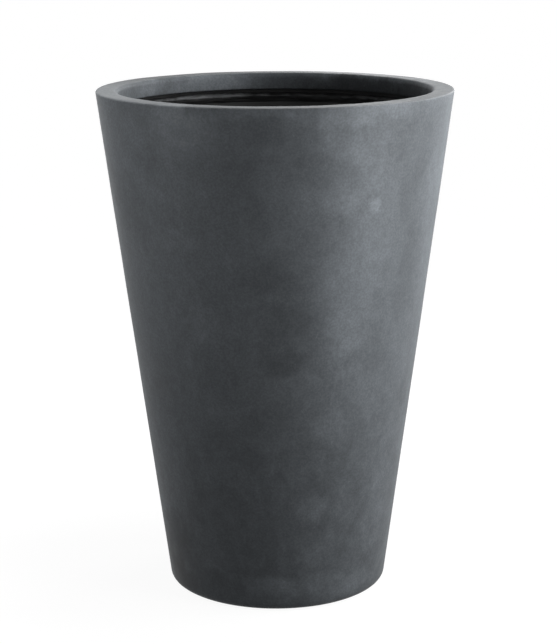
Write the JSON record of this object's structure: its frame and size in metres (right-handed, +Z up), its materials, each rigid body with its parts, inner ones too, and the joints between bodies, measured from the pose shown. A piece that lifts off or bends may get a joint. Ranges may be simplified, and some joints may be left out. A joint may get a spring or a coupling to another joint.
{
  "type": "cone planter",
  "caption": "Tall free-standing cone planter in grey fibre cement, with a turned-in rim, a sealed black inside and a pull-out drain plug.",
  "frame": {"origin": "on the ground, under the centre of the base", "axes": "+Z up along the cone's axis, out of the mouth; +Y to the back and +X to the right as in the picture"},
  "size_m": [0.4891, 0.4892, 0.7],
  "materials": {
    "fibre_cement": "matt, lightly sanded, blue-grey through-coloured cement",
    "laminate": "rough glass-fibre reinforced cement",
    "sealer": "satin black bituminous coat",
    "roving": "glass roving soaked in black resin, satin and lumpy",
    "bush_rubber": "matt moulded rubber",
    "plug_rubber": "matt moulded rubber"
  },
  "bodies": {
    "planter": {"face_coat": "fibre_cement", "wall_laminate": "laminate", "lip_laminate": "laminate", "base_laminate": "laminate", "seal_coat": "sealer", "stiffening_hoop": "roving", "drain_bush": "bush_rubber"},
    "plug": {"drain_plug": "plug_rubber"}
  },
  "joints": [
    {"name": "plug_lift", "type": "slide", "parent": "planter", "child": "plug", "axis": [0, 0, 1], "range_m": [0, 0.72]}
  ]
}
